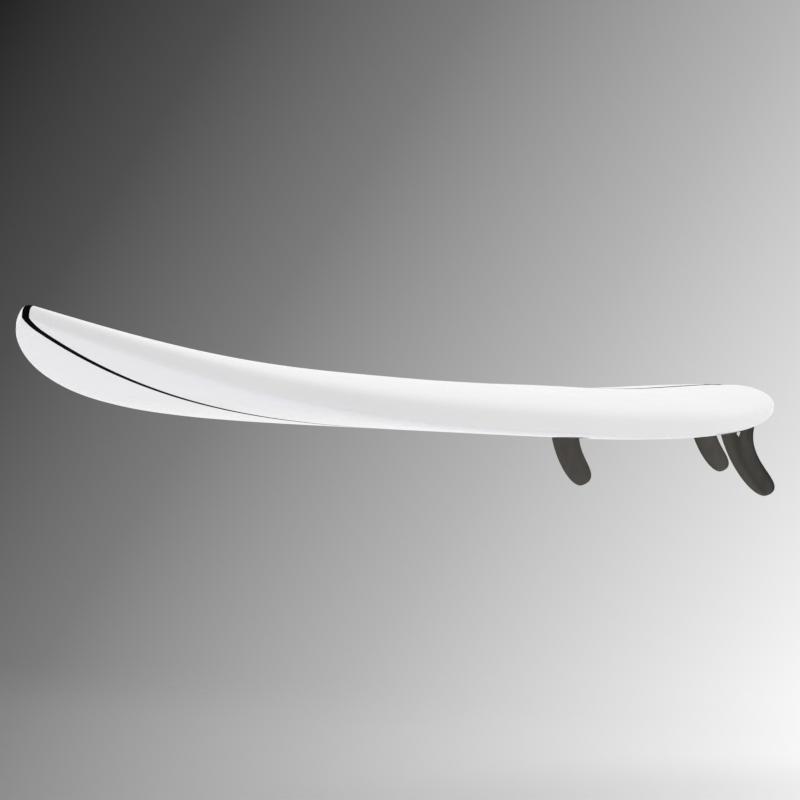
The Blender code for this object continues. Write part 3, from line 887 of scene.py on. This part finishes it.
def brushed_steel(name, level):
    """Stainless steel, with fine marks round it and slight staining."""
    look = Look(name)
    brushing = look.noise(look.place, (500.0, 500.0, 9000.0), 3.0)
    stains = look.ramp(look.noise(look.place, (700.0, 700.0, 700.0), 4.0), 0.50, 0.75)
    base = look.mix(stains, grey(level, 0.01), grey(0.62 * level, 0.10))
    rough = look.ramp(brushing, 0.3, 0.7, 0.16, 0.30)
    rough = look.math("ADD", rough, look.ramp(stains, 0.0, 1.0, 0.0, 0.2))
    look.surface(Base_Color=base, Metallic=1.0, Roughness=rough, Normal=look.bump(brushing, 0.000008))
    return look.material


def blank_foam(name):
    """Rigid foam with open cells from planing."""
    look = Look(name)
    cells = look.cells(look.place, 0.0009)
    clouds = look.noise(look.place, (12.0, 12.0, 12.0), 4.0)
    base = look.mix(look.ramp(clouds, 0.3, 0.7), grey(0.86, 0.10), grey(0.90, 0.06))
    base = look.mix(look.ramp(cells, 0.2, 0.8, 0.0, 0.25), base, grey(0.70, 0.14))
    look.surface(Base_Color=base, Roughness=0.9, Normal=look.bump(cells, 0.0002))
    return look.material


def stringer_core(name):
    """The stringer's dark wood, with grain along the board."""
    look = Look(name)
    grain = look.noise(look.place, (6.0, 900.0, 260.0), 5.0)
    base = look.mix(look.ramp(grain, 0.3, 0.7), grey(0.006), grey(0.022, 0.2))
    look.surface(Base_Color=base, Roughness=0.55, Normal=look.bump(grain, 0.0001))
    return look.material


def dress_cores():
    """Materials for the foam halves and the stringer, which stay as the CAD made them."""
    foam = blank_foam("blank_foam")
    looks = {"blank_left": foam, "blank_right": foam, "stringer": stringer_core("stringer_core")}
    for name, look in looks.items():
        mesh = NODES[name].data
        if not mesh.materials:
            mesh.materials.append(look)
        for slot in NODES[name].material_slots:
            slot.material = look


# ---------------------------------------------------------------- floor, light and camera


def backdrop_tone(tree):
    """A grey that brightens across the picture from its top left to its bottom right."""
    window = tree.nodes.new("ShaderNodeTexCoord").outputs["Window"]
    slide = tree.nodes.new("ShaderNodeVectorMath")
    slide.operation = "DOT_PRODUCT"
    slide.inputs[1].default_value = BACKDROP_SLOPE
    tree.links.new(window, slide.inputs[0])
    shift = tree.nodes.new("ShaderNodeMath")
    shift.operation = "ADD"
    shift.inputs[1].default_value = BACKDROP_SHIFT
    tree.links.new(slide.outputs["Value"], shift.inputs[0])
    ramp = tree.nodes.new("ShaderNodeValToRGB")
    while len(ramp.color_ramp.elements) < len(BACKDROP_LEVELS):
        ramp.color_ramp.elements.new(0.5)
    for element, (at, level) in zip(ramp.color_ramp.elements, BACKDROP_LEVELS):
        element.position = at
        element.color = (level, level, level, 1.0)
    tree.links.new(shift.outputs[0], ramp.inputs[0])
    return ramp.outputs["Color"]


def make_floor():
    """A pale floor under the board, which fades at its edge and is clear from below; to the camera it is painted
    with the backdrop's brightening tone.
    """
    centre = 0.5 * (CAD_BOX[0] + CAD_BOX[1])
    height = CAD_BOX[0].z - FLOOR_DROP
    build = bmesh.new()
    bmesh.ops.create_circle(build, cap_ends=True, segments=96, radius=FLOOR_RADIUS)
    place = Matrix.Translation((centre.x, centre.y, height))
    floor = new_piece("floor", finished("floor", build), place)
    look = Look("floor")
    x, y, _ = look.parts(look.place)
    squares = [look.math("MULTIPLY", part, part) for part in (x, y)]
    radius = look.math("SQRT", look.math("ADD", *squares))
    # Painted light and shade: to the camera the floor takes the backdrop's tone, which brightens across the
    # picture, while other rays see the plain pale tone.
    seen = look.node("ShaderNodeLightPath").outputs["Is Camera Ray"]
    tone = look.mix(seen, FLOOR_TONE, backdrop_tone(look.tree))
    look.surface(Base_Color=tone, Roughness=0.8, Specular_IOR_Level=0.1)
    clear = look.node("ShaderNodeBsdfTransparent").outputs[0]
    fade = look.ramp(radius, *FLOOR_FADE)
    below = look.node("ShaderNodeNewGeometry").outputs["Backfacing"]
    fade = look.math("MAXIMUM", fade, below)
    mixed = look.node("ShaderNodeMixShader", {0: fade, 1: look.shader.outputs[0], 2: clear})
    output = look.tree.nodes["Material Output"]
    look.tree.links.new(mixed.outputs[0], output.inputs["Surface"])
    floor.data.materials.append(look.material)


def make_world():
    """Soft light from all round, and a plain backdrop that only the camera sees."""
    world = bpy.data.worlds.new("studio")
    world.use_nodes = True
    bpy.context.scene.world = world
    tree = world.node_tree
    tree.nodes.clear()
    direction = tree.nodes.new("ShaderNodeTexCoord").outputs["Generated"]
    level = None
    for towards, tones in SURROUNDINGS:
        facing = tree.nodes.new("ShaderNodeVectorMath")
        facing.operation = "DOT_PRODUCT"
        facing.inputs[1].default_value = towards
        tree.links.new(direction, facing.inputs[0])
        part = tree.nodes.new("ShaderNodeMapRange")
        part.interpolation_type = "SMOOTHSTEP"
        for socket, given in zip(part.inputs[1:5], (-1.0, 1.0, *tones)):
            socket.default_value = given
        tree.links.new(facing.outputs["Value"], part.inputs[0])
        if level is None:
            level = part.outputs[0]
            continue
        total = tree.nodes.new("ShaderNodeMath")
        tree.links.new(level, total.inputs[0])
        tree.links.new(part.outputs[0], total.inputs[1])
        level = total.outputs[0]
    light = tree.nodes.new("ShaderNodeBackground")
    tree.links.new(level, light.inputs["Strength"])
    shown = tree.nodes.new("ShaderNodeBackground")
    tree.links.new(backdrop_tone(tree), shown.inputs["Color"])
    mixed = tree.nodes.new("ShaderNodeMixShader")
    rays = tree.nodes.new("ShaderNodeLightPath")
    tree.links.new(rays.outputs["Is Camera Ray"], mixed.inputs[0])
    tree.links.new(light.outputs[0], mixed.inputs[1])
    tree.links.new(shown.outputs[0], mixed.inputs[2])
    output = tree.nodes.new("ShaderNodeOutputWorld")
    tree.links.new(mixed.outputs[0], output.inputs["Surface"])


def softbox(name, place, size, power, mirrored=True):
    """A large area light that faces the board's middle, and shows in the gloss if mirrored."""
    light = bpy.data.lights.new(name, "AREA")
    light.shape = "RECTANGLE"
    light.size, light.size_y = size
    light.energy = power
    lamp = bpy.data.objects.new(name, light)
    bpy.context.scene.collection.objects.link(lamp)
    lamp.location = place
    lamp.rotation_euler = (-Vector(place)).to_track_quat("-Z", "Y").to_euler()
    lamp.visible_camera = False
    lamp.visible_glossy = mirrored


def make_camera():
    """The camera: level, to the board's left and ahead of its nose, with a slight roll."""
    camera = bpy.data.objects.new("camera", bpy.data.cameras.new("camera"))
    bpy.context.scene.collection.objects.link(camera)
    ahead = Vector(
        (
            math.sin(CAMERA_YAW) * math.cos(CAMERA_PITCH),
            math.cos(CAMERA_YAW) * math.cos(CAMERA_PITCH),
            math.sin(CAMERA_PITCH),
        )
    )
    right = Vector((math.cos(CAMERA_YAW), -math.sin(CAMERA_YAW), 0.0))
    up = right.cross(ahead)
    right_rolled = right * math.cos(CAMERA_ROLL) + up * math.sin(CAMERA_ROLL)
    up_rolled = up * math.cos(CAMERA_ROLL) - right * math.sin(CAMERA_ROLL)
    matrix = Matrix((right_rolled, up_rolled, -ahead)).transposed().to_4x4()
    matrix.translation = CAMERA_PLACE
    camera.matrix_world = matrix
    camera.data.lens = CAMERA_LENS
    camera.data.clip_end = 60.0
    bpy.context.scene.camera = camera


make_hull()
make_fins()
make_leash_cup()
dress_cores()
make_floor()
make_world()
softbox("key", *KEY_LIGHT)
softbox("fill", *FILL_LIGHT, mirrored=False)
make_camera()
bpy.context.scene.view_settings.view_transform = "Standard"
